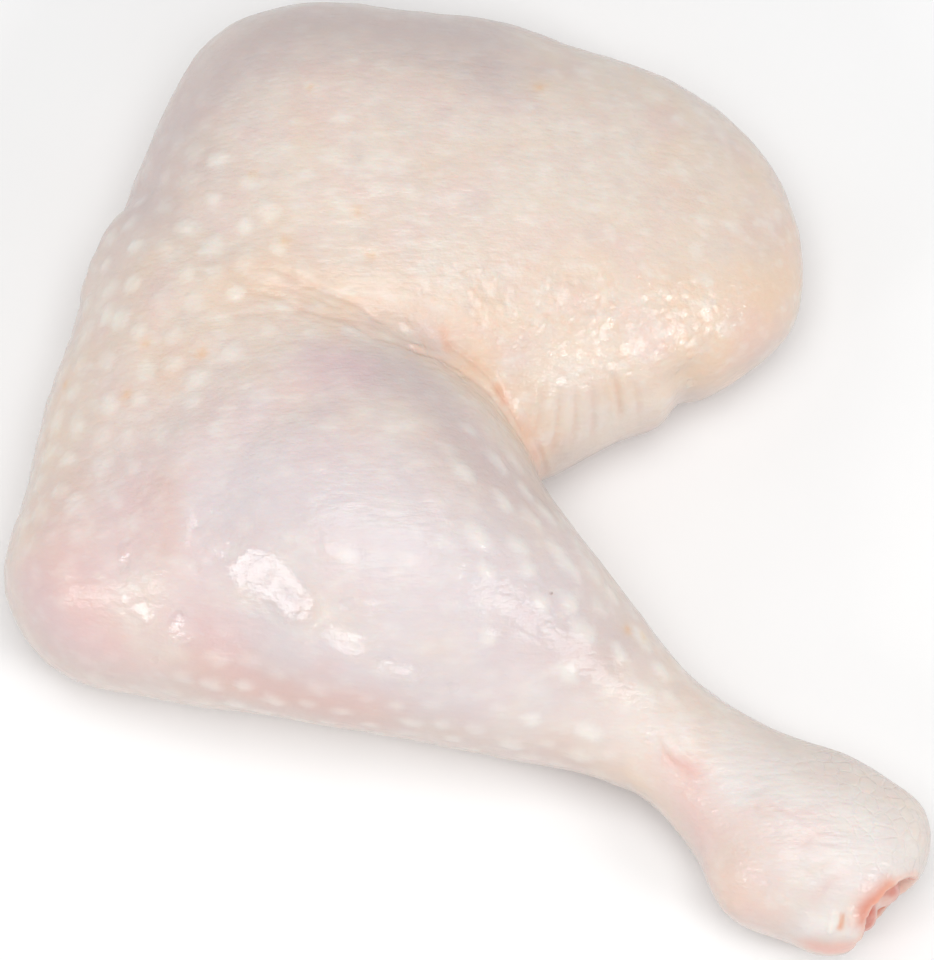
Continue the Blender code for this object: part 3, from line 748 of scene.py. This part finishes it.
def flatten(skin):
    """Flattens small uneven patches and wets them, halfway between facing a light and facing the camera."""
    lamps = {name: unit(way) * distance / MM for name, way, distance, _ in LIGHTS}
    for name, marks, half_width, share_flat in (*FLATS, *scatter_glints(skin, lamps)):
        which, distance, _, _ = skin.near(marks, max(half_width * 2.2, 1.0))
        middle = skin.points[which][distance <= max(half_width * 0.5, distance.min())].mean(0)
        way = glint_way(middle, lamps[name])
        height = (skin.points[which] - middle) @ way
        ragged = distance * (1.0 + 0.5 * soft_noise(skin.points[which], half_width * 0.8, 31.0))
        ragged += 0.45 * min(half_width, 1.2) * soft_noise(skin.points[which], 1.6, 35.0)
        amount = share_flat * smooth_step((1.9 - ragged / half_width) / 1.3)
        skin.points[which] -= (height * amount)[:, None] * way
        wet = skin.field("wet")
        gaps = 0.8 + 0.6 * soft_noise(skin.points[which], 1.3, 38.0)
        wet[which] = np.maximum(wet[which], gaps * smooth_step((1.25 - ragged / half_width) / 0.3))
    skin.settle()


def wrinkle(skin):
    """Lays fine wrinkles side by side along lines of marks."""
    for marks, reach, height, spacing in WRINKLES:
        which, distance, side, along = skin.near(marks, reach * 1.6)
        phase = distance * side / spacing + 0.7 * soft_noise(skin.points[which], 4.0, 40.0)
        fade = hill(distance, reach) * smooth_step(along * 5) * smooth_step((1 - along) * 5)
        skin.lift(height * fade * np.sin(2 * math.pi * phase), which)
    skin.settle()


def press_folds(skin):
    """Presses the folds and the pleats into the skin."""
    fold = skin.field("fold")
    for marks, depth, half_width, lip, lip_place in FOLDS:
        which, distance, side, along = skin.near(marks, lip_place + half_width * 3)
        fade = smooth_step(along * 4) * smooth_step((1 - along) * 4)
        groove = -depth * hill(distance, half_width)
        rise = lip * hill(distance * side - lip_place, half_width * 1.5)
        skin.lift((groove + rise) * fade, which)
        # The fold's colour goes in its groove, more where the groove is deeper: partly the orange of the fat
        # in the fold, partly painted shade.
        tint = fade * min(1.0, depth * 1.8) * hill(distance, half_width * 0.9)
        fold[which] = np.maximum(fold[which], tint)
    for upper, lower, depth in PLEATS:
        middle = tuple((a + b) / 2 for a, b in zip(upper, lower))
        which, distance, _, along = skin.near((upper, middle, lower), PLEAT_HALF_WIDTH * 4)
        fade = smooth_step(along * 3) * smooth_step((1 - along) * 3 + 0.3)
        groove = hill(distance, PLEAT_HALF_WIDTH)
        ridge = hill(distance - PLEAT_HALF_WIDTH * 2.2, PLEAT_HALF_WIDTH)
        skin.lift(0.7 * depth * fade * (0.5 * ridge - groove), which)
        # The pleats' grooves take the fold colour too, deeper ones more: partly painted shade.
        fold[which] = np.maximum(fold[which], 0.35 * fade * groove * depth / 0.3)
    skin.settle()


def follicle_strength(skin):
    """How much follicles stand out at each point, and how stretched they are along the shank."""
    strength = np.full(len(skin.points), FOLLICLES_ELSEWHERE)
    stretch = np.zeros(len(skin.points))
    for marks, reach, top, length_share in FOLLICLE_FIELDS:
        which, distance, _, _ = skin.near(marks, reach * 1.8)
        amount = hill(distance, reach)
        strength[which] = np.maximum(strength[which], top * amount)
        stretch[which] = np.maximum(stretch[which], length_share * amount)
    for marks, reach in NO_FOLLICLES:
        which, distance, _, _ = skin.near(marks, reach * 1.8)
        strength[which] *= 1.0 - hill(distance, reach, 4)
    return strength, stretch


def raise_follicles(skin, settings):
    """Raises the clear follicles, and scatters the others evenly over the skin between them."""
    strength, stretch = follicle_strength(skin)
    spacing = settings.follicle_spacing / MM
    half_width = settings.follicle_width / MM / 2
    tree = KDTree(len(skin.points))
    for number, point in enumerate(skin.points):
        tree.insert(point, number)
    tree.balance()
    draw = np.random.default_rng(11)
    clear = [tree.find(np.array(place) + MOVED)[1] for place in CLEAR_FOLLICLES]
    strength[clear] = np.maximum(strength[clear], 0.9)
    taken = np.zeros(len(skin.points), bool)
    height = np.zeros(len(skin.points))
    white = np.zeros(len(skin.points))
    way = unit(SHANK_WAY)
    uneven = 0.3 * soft_noise(skin.points, 1.5, 50.0)
    for rank, number in enumerate((*clear, *draw.permutation(len(skin.points)))):
        if taken[number] and rank >= len(clear):
            continue
        place = skin.points[number]
        near = np.array([found[1] for found in tree.find_range(place, spacing)])
        taken[near] = True
        most, size, tip = (draw.uniform(*span) for span in FOLLICLE_SPREAD)
        if strength[number] < 0.06:
            continue
        if rank < len(clear):
            most, tip = CLEAR_HEIGHT, CLEAR_WHITENESS
        offset = skin.points[near] - place
        long_way = np.abs(offset @ way) / (1.0 + 0.7 * stretch[number])
        side_way = np.linalg.norm(offset - (offset @ way)[:, None] * way, axis=1)
        reach = np.hypot(long_way, side_way * (1.0 + 0.25 * stretch[number])) / (half_width * size)
        reach += uneven[near]
        dome = smooth_step((1.1 - reach) / 0.9)
        height[near] = np.maximum(height[near], most * strength[number] * dome)
        core = smooth_step(1.15 - reach)
        white[near] = np.maximum(white[near], tip * min(1.0, strength[number] * 1.1) * core)
    skin.lift(height * settings.follicle_height / MM)
    skin.fields["follicle"] = np.maximum(skin.field("follicle"), white)
    skin.fields["between"] = np.clip(strength, 0.0, 1.0) * (1.0 - smooth_step(white * 2.5))
    skin.settle()


def shape_hock(skin):
    """Gives the cut its uneven lip and its slit tendon, and marks where the flesh lies open."""
    _, local = hock_distance(skin.points)
    lower = smooth_step((3.0 - local[:, 1]) / 7.0) * smooth_step((local[:, 2] + 7.0) / 6.0)
    lower *= hill(local[:, 0], HOCK_SIZES[0], 4)
    skin.points -= np.outer(LIP_SET_BACK * lower, HOCK_AXES[2])
    skin.settle()
    share_out, local = hock_distance(skin.points)
    inwards = np.einsum("pk,pk->p", skin.normals, np.array(HOCK_PLACE) + MOVED - skin.points)
    open_flesh = smooth_step((1.10 - share_out) / 0.12) * smooth_step(inwards / 1.5 + 0.5)
    skin.fields["cut"] = open_flesh
    rim = hill(share_out - RIM_PLACE, RIM_HALF_WIDTH) * (1.0 - open_flesh)
    rim *= smooth_step((local[:, 2] + 6.0) / 4.0)
    skin.lift(rim * (0.2 + 0.25 * soft_noise(skin.points, 2.2, 5.0)))
    skin.lift(open_flesh * 0.3 * soft_noise(skin.points, 1.9, 9.0))
    skin.fields["gristle"] = rim
    marks, depth, half_width = TENDON_SLIT
    which, distance, _, along = skin.near(marks, half_width * 4)
    slit = hill(distance, half_width * (0.3 + along)) * smooth_step((1 - along) * 4) * smooth_step(along * 3)
    skin.lift(-depth * slit, which)
    skin.field("slit")[which] = slit
    skin.settle()


def colour_skin(skin):
    """Lays the colour fields on the skin."""
    wander = soft_noise(skin.points, 7.0, 21.0) + 0.5 * soft_noise(skin.points, 3.0, 27.0)
    for name, rows in COLOUR_FIELDS.items():
        for marks, reach, strength in rows:
            skin.glow(name, marks, reach, strength, wander)
    for place, half_width in FRECKLES:
        skin.glow("freckle", (place,), half_width, 0.9, wander)
        skin.glow("peach", (place,), half_width * 3.0, 0.4, wander)
    skin.glow("speck", (DARK_SPECK[0],), DARK_SPECK[1], 1.0, wander)
    skin.fields["wet"] = 0.2 * skin.fields["crinkle"]
    under = smooth_step((UNDERSIDE_HEIGHT - skin.points[:, 2]) / UNDERSIDE_HEIGHT)
    skin.fields["flush"] = np.maximum(skin.fields["flush"], UNDERSIDE_FLUSH * under)
    # Painted shade: the skin is darkened where it turns away from the light from above, less where the peach
    # and milk fields lie.
    fatty = np.maximum(skin.fields["peach"], skin.fields["milk"])
    skin.fields["shade"] = smooth_step((0.8 - skin.normals[:, 2]) / 0.8) * (1.0 - 0.8 * fatty)


def add_node(tree, kind, settings=None, output=None):
    """Adds a node, and gives its output of this name or number where one is asked for.

    Settings are the node's options and its sockets' values, or the outputs that feed its sockets.
    """
    node = tree.nodes.new(kind)
    for key, value in (settings or {}).items():
        if isinstance(key, str) and hasattr(node, key):
            setattr(node, key, value)
        elif isinstance(value, bpy.types.NodeSocket):
            tree.links.new(value, node.inputs[key])
        else:
            node.inputs[key].default_value = value
    return node if output is None else node.outputs[output]


def new_material(name):
    """An empty material, its nodes, and the object's own coordinates."""
    material = bpy.data.materials.new(name)
    material.use_nodes = True
    tree = material.node_tree
    tree.nodes.clear()
    return material, tree, add_node(tree, "ShaderNodeTexCoord", output="Object")


def add_shader(tree, settings):
    """Adds the material's shader and its output."""
    shader = add_node(tree, "ShaderNodeBsdfPrincipled", settings, "BSDF")
    add_node(tree, "ShaderNodeOutputMaterial", {"Surface": shader})


def per_metre(millimetres):
    """The scale of a noise texture whose hills are this far apart."""
    return 1.0 / (millimetres * MM)


def patches(tree, place, size, low, high, strength):
    """How far soft patches cover what is below."""
    cloud = {"Scale": per_metre(size), "Detail": 2.0, "Vector": place}
    cover = {"From Min": low, "From Max": high, "To Max": strength}
    cover["Value"] = add_node(tree, "ShaderNodeTexNoise", cloud, "Fac")
    return add_node(tree, "ShaderNodeMapRange", cover, "Result")


def lay_mottle(tree, place, below, above, *patch):
    """Lays soft patches of one colour over what is below."""
    amount = patches(tree, place, *patch)
    return add_node(tree, "ShaderNodeMix", {"data_type": "RGBA", 0: amount, 6: below, 7: above}, 2)


def lay_field(tree, below, above, field, strength):
    """Lays one colour over what is below, as far as a field of the mesh says."""
    marked = add_node(tree, "ShaderNodeAttribute", {"attribute_name": field}, "Fac")
    amount = add_node(tree, "ShaderNodeMath", {"operation": "MULTIPLY", 0: marked, 1: strength}, 0)
    return add_node(tree, "ShaderNodeMix", {"data_type": "RGBA", 0: amount, 6: below, 7: above}, 2)


def lay_grain(tree, place, size, depth, bump, detail=2.0):
    """Lays bumps of this size and depth in millimetres. Gives their heights and the new relief."""
    cloud = {"Scale": per_metre(size), "Detail": detail, "Vector": place}
    heights = add_node(tree, "ShaderNodeTexNoise", cloud, "Fac")
    bump = {"Distance": depth * MM, "Height": heights, **bump}
    return heights, add_node(tree, "ShaderNodeBump", bump, "Normal")


# Raw chicken skin: thin, fatty and wet. Light goes some millimetres into it, which softens every shade, and
# the water on it gives small sharp glints that its fine grain breaks up.
def raw_skin_material(settings):
    """Raw chicken skin."""
    material, tree, place = new_material("Raw chicken skin")
    fields = {
        name: add_node(tree, "ShaderNodeAttribute", {"attribute_name": name}, "Fac")
        for name in ("crinkle", "cut", "milk", "scaly", "wet")
    }
    stretched = {
        scale: add_node(tree, "ShaderNodeMapping", {"Scale": (scale, 1.0, 1.0), "Vector": place}, "Vector")
        for scale in (0.2, 0.3, 0.6, 1.0)
    }
    skin = lay_mottle(tree, place, settings.cream, settings.peach, *SKIN_PATCHES)
    for name, strength in SKIN_LAYERS:
        skin = lay_field(tree, skin, getattr(settings, name), name, strength)
        if name == "flush":
            for above, scale, *patch in MOTTLES:
                skin = lay_mottle(tree, stretched[scale], skin, getattr(settings, above), *patch)
    amount = patches(tree, place, *CREASE_PATCHES)
    amount = add_node(tree, "ShaderNodeMath", {"operation": "MULTIPLY", 0: amount, 1: fields["crinkle"]}, 0)
    skin = add_node(tree, "ShaderNodeMix", {"data_type": "RGBA", 0: amount, 6: skin, 7: settings.crease}, 2)
    flesh = lay_mottle(tree, place, settings.flesh, settings.gristle, *FLESH_PATCHES)
    skin = add_node(tree, "ShaderNodeMix", {"data_type": "RGBA", 0: fields["cut"], 6: skin, 7: flesh}, 2)
    skin = lay_field(tree, skin, settings.amber, "slit", 0.9)
    skin = lay_field(tree, skin, settings.speck, "speck", 1.0)

    water = {"To Min": DRY_RELIEF, "To Max": WET_RELIEF, "Value": fields["wet"]}
    calm = add_node(tree, "ShaderNodeMapRange", water, "Result")
    normal = skin_relief(tree, place, stretched, fields, calm)
    film, wet = lay_grain(tree, place, *WATER_FILM, {"Strength": calm, "Normal": normal})
    over_fat = {"Strength": fields["crinkle"], "Normal": wet}
    _, lumpy = lay_grain(tree, place, *WATER_ON_FAT, over_fat, detail=1.0)
    low, high = DAMP_ROUGHNESS
    dull = {"From Min": 0.3, "From Max": 0.7, "To Min": low, "To Max": high, "Value": film}
    damp = add_node(tree, "ShaderNodeMapRange", dull, "Result")
    gloss = {"data_type": "FLOAT", 0: fields["wet"], 2: damp, 3: WET_ROUGHNESS}
    rough = add_node(tree, "ShaderNodeMix", gloss, 0)
    finish = {
        "Base Color": skin,
        "Roughness": rough,
        "IOR": 1.4,
        "Normal": wet,
        "Subsurface Weight": 0.4,
        "Subsurface Radius": (1.0, 0.5, 0.35),
        "Subsurface Scale": 2.0 * MM,
        "Coat Weight": 0.5,
        "Coat Roughness": 0.08,
        "Coat IOR": 1.34,
        "Coat Normal": lumpy,
    }
    add_shader(tree, finish)
    return material


def skin_relief(tree, place, stretched, fields, calm):
    """The relief too fine for the mesh: pores, creases, the ankle's lines, crinkled fat and scales."""
    _, normal = lay_grain(tree, place, *PORES, {"Strength": 0.5})
    for grain, way, strength in (
        (CREASES, stretched[0.3], calm),
        (ANKLE_GRAIN, stretched[0.2], fields["milk"]),
        (FAT_GRAIN, place, fields["crinkle"]),
    ):
        _, normal = lay_grain(tree, way, *grain, {"Strength": strength, "Normal": normal})
    size, depth = SCALES
    cells = {"feature": "DISTANCE_TO_EDGE", "Scale": per_metre(size), "Vector": place}
    edges = add_node(tree, "ShaderNodeTexVoronoi", cells, "Distance")
    scales = add_node(tree, "ShaderNodeMapRange", {"From Max": 0.12, "Value": edges}, "Result")
    bump = {"Distance": depth * MM, "Strength": fields["scaly"], "Height": scales, "Normal": normal}
    return add_node(tree, "ShaderNodeBump", bump, "Normal")


# Joint cartilage: smooth, pale gristle over bone, wet, with blood showing through towards its edge.
def cartilage_material(settings):
    """Joint cartilage."""
    material, tree, place = new_material("Joint cartilage")
    cloud, normal = lay_grain(tree, place, *GRISTLE_GRAIN, {"Strength": 0.4}, detail=4.0)
    edge = add_node(tree, "ShaderNodeAttribute", {"attribute_name": "edge"}, "Fac")
    uneven = {"From Min": 0.35, "From Max": 0.7, "To Min": 0.5, "To Max": 1.0, "Value": cloud}
    patch = add_node(tree, "ShaderNodeMapRange", uneven, "Result")
    blood = add_node(tree, "ShaderNodeMath", {"operation": "MULTIPLY", 0: edge, 1: patch}, 0)
    mix = {"data_type": "RGBA", 0: blood, 6: settings.cartilage, 7: settings.marrow}
    finish = {
        "Base Color": add_node(tree, "ShaderNodeMix", mix, 2),
        "Roughness": 0.28,
        "IOR": 1.4,
        "Normal": normal,
        "Subsurface Weight": 0.4,
        "Subsurface Radius": (1.0, 0.5, 0.4),
        "Subsurface Scale": 1.5 * MM,
        "Coat Weight": 0.3,
        "Coat Roughness": 0.08,
    }
    add_shader(tree, finish)
    return material


# Matt white board: it has no gloss, so it only takes the leg's soft shadow.
def board_material(settings):
    """Matt white board."""
    material, tree, place = new_material("Matt white board")
    board = lay_mottle(tree, place, settings.floor_colour, settings.floor_grain, *BOARD_PATCHES)
    add_shader(tree, {"Base Color": board, "Roughness": 0.9, "Specular IOR Level": 0.1})
    return material


def finish_piece(piece, material, node):
    """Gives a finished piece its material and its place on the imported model."""
    piece.data.materials.append(material)
    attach(piece, "root")
    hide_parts(node)


class LEGQUARTER_OT_skin(bpy.types.Operator):
    """Model the skin of the thigh and the drumstick, with the cut at the hock"""

    bl_idname = "leg_quarter.skin"
    bl_label = "Skin"

    def execute(self, context):
        settings = context.scene.leg_skin
        piece = copy_node("leg", "skin")
        remesh(piece, settings.point_spacing)
        near_hock, _ = hock_distance(Surface(piece).points)
        smooth(piece, 40, smooth_step((near_hock - 1.3) / 0.6))
        smooth(piece, 3)
        refine(piece)
        smooth(piece, 1)
        skin = Surface(piece)
        swell(skin)
        colour_skin(skin)
        flatten(skin)
        wrinkle(skin)
        press_folds(skin)
        raise_follicles(skin, settings)
        shape_hock(skin)
        skin.points = np.clip(skin.points, np.array(CAD_LOW) / MM, np.array(CAD_HIGH) / MM)
        skin.store()
        finish_piece(piece, raw_skin_material(settings), "leg")
        return {"FINISHED"}


class LEGQUARTER_OT_joint(bpy.types.Operator):
    """Model the end of the shank bone in the cut hock"""

    bl_idname = "leg_quarter.joint"
    bl_label = "Joint"

    def execute(self, context):
        settings = context.scene.leg_joint
        piece = copy_node("joint_end", "joint_cartilage")
        remesh(piece, settings.point_spacing)
        smooth(piece, 6)
        joint = Surface(piece)
        _, local = hock_distance(joint.points)
        depth, half_width = JOINT_GROOVE
        joint.lift(0.08 * soft_noise(joint.points, 1.6, 4.0) - depth * hill(local[:, 0], half_width))
        from_middle = np.hypot(local[:, 0] / HOCK_SIZES[0], local[:, 1] / HOCK_SIZES[1])
        edge = smooth_step((from_middle - 0.22) / 0.4) + 0.35 * soft_noise(joint.points, 2.0, 12.0)
        joint.fields["edge"] = np.clip(edge, 0.0, 1.0)
        joint.store()
        finish_piece(piece, cartilage_material(settings), "joint_end")
        return {"FINISHED"}


class LEGQUARTER_OT_stage(bpy.types.Operator):
    """Lay the floor, and set up the lights and the camera"""

    bl_idname = "leg_quarter.stage"
    bl_label = "Stage"

    def execute(self, context):
        settings = context.scene.leg_stage
        bpy.ops.object.select_all(action="DESELECT")
        bpy.ops.mesh.primitive_plane_add(size=settings.floor_size)
        floor = context.active_object
        floor.name = "floor"
        floor.data.materials.append(board_material(settings))
        light_the_stage(context.scene, settings)
        aim_camera(context.scene)
        return {"FINISHED"}


def light_the_stage(scene, settings):
    """A white sky and five soft boxes, which suit the leg from all sides."""
    world = bpy.data.worlds.new("white sky")
    world.use_nodes = True
    world.node_tree.nodes["Background"].inputs["Color"].default_value = (1.0, 1.0, 1.0, 1.0)
    world.node_tree.nodes["Background"].inputs["Strength"].default_value = settings.sky
    scene.world = world
    for name, way, distance, size in LIGHTS:
        light = bpy.data.lights.new(name, "AREA")
        light.shape = "SQUARE"
        light.size = size
        light.energy = getattr(settings, name + "_power")
        lamp = bpy.data.objects.new(name, light)
        lamp.location = Vector(way).normalized() * distance
        lamp.rotation_mode = "QUATERNION"
        lamp.rotation_quaternion = (-lamp.location).to_track_quat("-Z", "Y")
        lamp.visible_camera = False
        scene.collection.objects.link(lamp)
    scene.view_settings.view_transform = "Standard"


def camera_place():
    """Where the camera stands, in metres."""
    back = Vector((0.0, -math.cos(VIEW_ELEVATION), math.sin(VIEW_ELEVATION)))
    return Vector(VIEW_AIM) + Vector(MOVED * MM) + back * VIEW_DISTANCE


def aim_camera(scene):
    """Looks down on the leg as the photograph does."""
    camera = bpy.data.cameras.new("camera")
    camera.sensor_width = SENSOR
    camera.lens = SENSOR * VIEW_DISTANCE / VIEW_HEIGHT
    camera.clip_start = 0.01
    mount = bpy.data.objects.new("camera", camera)
    mount.location = camera_place()
    mount.rotation_mode = "QUATERNION"
    down = Vector(VIEW_AIM) + Vector(MOVED * MM) - mount.location
    mount.rotation_quaternion = down.to_track_quat("-Z", "Y")
    scene.collection.objects.link(mount)
    scene.camera = mount


class LEGQUARTER_PT_panel(bpy.types.Panel):
    """Lists the leg quarter's pieces"""

    bl_idname = "LEGQUARTER_PT_panel"
    bl_label = "Leg quarter"
    bl_space_type = "VIEW_3D"
    bl_region_type = "UI"
    bl_category = "Leg quarter"

    def draw(self, context):
        for operator in OPERATORS:
            self.layout.operator(operator.bl_idname)


SETTINGS = {"leg_skin": LegSkinSettings, "leg_joint": LegJointSettings, "leg_stage": LegStageSettings}
OPERATORS = (LEGQUARTER_OT_stage, LEGQUARTER_OT_skin, LEGQUARTER_OT_joint)


def register():
    """Makes the settings, the operators and the panel known to Blender."""
    for name, group in SETTINGS.items():
        bpy.utils.register_class(group)
        setattr(bpy.types.Scene, name, bpy.props.PointerProperty(type=group))
    for operator in OPERATORS:
        bpy.utils.register_class(operator)
    bpy.utils.register_class(LEGQUARTER_PT_panel)


def unregister():
    """Takes them out again."""
    bpy.utils.unregister_class(LEGQUARTER_PT_panel)
    for operator in reversed(OPERATORS):
        bpy.utils.unregister_class(operator)
    for name, group in reversed(SETTINGS.items()):
        delattr(bpy.types.Scene, name)
        bpy.utils.unregister_class(group)


def main():
    """Builds the stage and the pieces."""
    register()
    bpy.ops.leg_quarter.stage()
    bpy.ops.leg_quarter.skin()
    bpy.ops.leg_quarter.joint()


if __name__ == "__main__":
    main()
